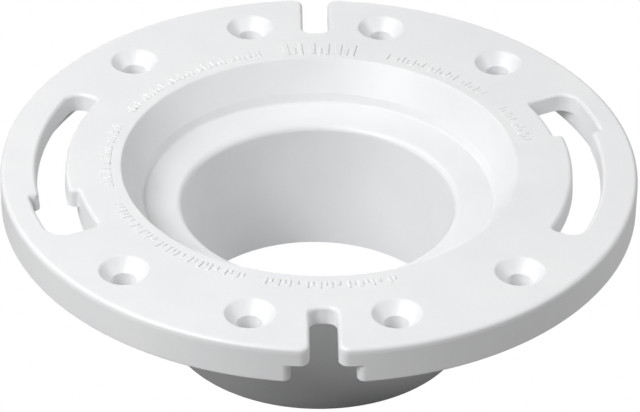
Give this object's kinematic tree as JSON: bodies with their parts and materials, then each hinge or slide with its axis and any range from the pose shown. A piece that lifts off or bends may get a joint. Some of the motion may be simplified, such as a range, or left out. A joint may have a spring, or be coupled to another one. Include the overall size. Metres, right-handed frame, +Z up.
{
  "type": "toilet flange",
  "caption": "Round white plastic toilet flange: a slotted mounting plate with countersunk screw holes and a recess, over a straight pipe spigot.",
  "frame": {"origin": "centre of the spigot's foot, on the bore's axis", "axes": "+Z up the bore to the plate's top face; +Y along the two straight slots, +X across the two curved slots"},
  "size_m": [0.181, 0.1804, 0.0549],
  "materials": {
    "pvc": "moulded, semi-matte white PVC",
    "raised_marks": "moulded, the same white PVC"
  },
  "bodies": {
    "root": {"mounting_plate": "pvc", "rim_band": "pvc", "inner_rail": "pvc", "slot_rails": "pvc", "screw_bosses": "pvc", "channel_webs": "pvc", "recess_funnel": "pvc", "shoulder_dish": "pvc", "pipe_spigot": "pvc", "funnel_gussets": "pvc", "raised_ring_marks": "raised_marks", "raised_panel_marks": "raised_marks"}
  },
  "joints": []
}
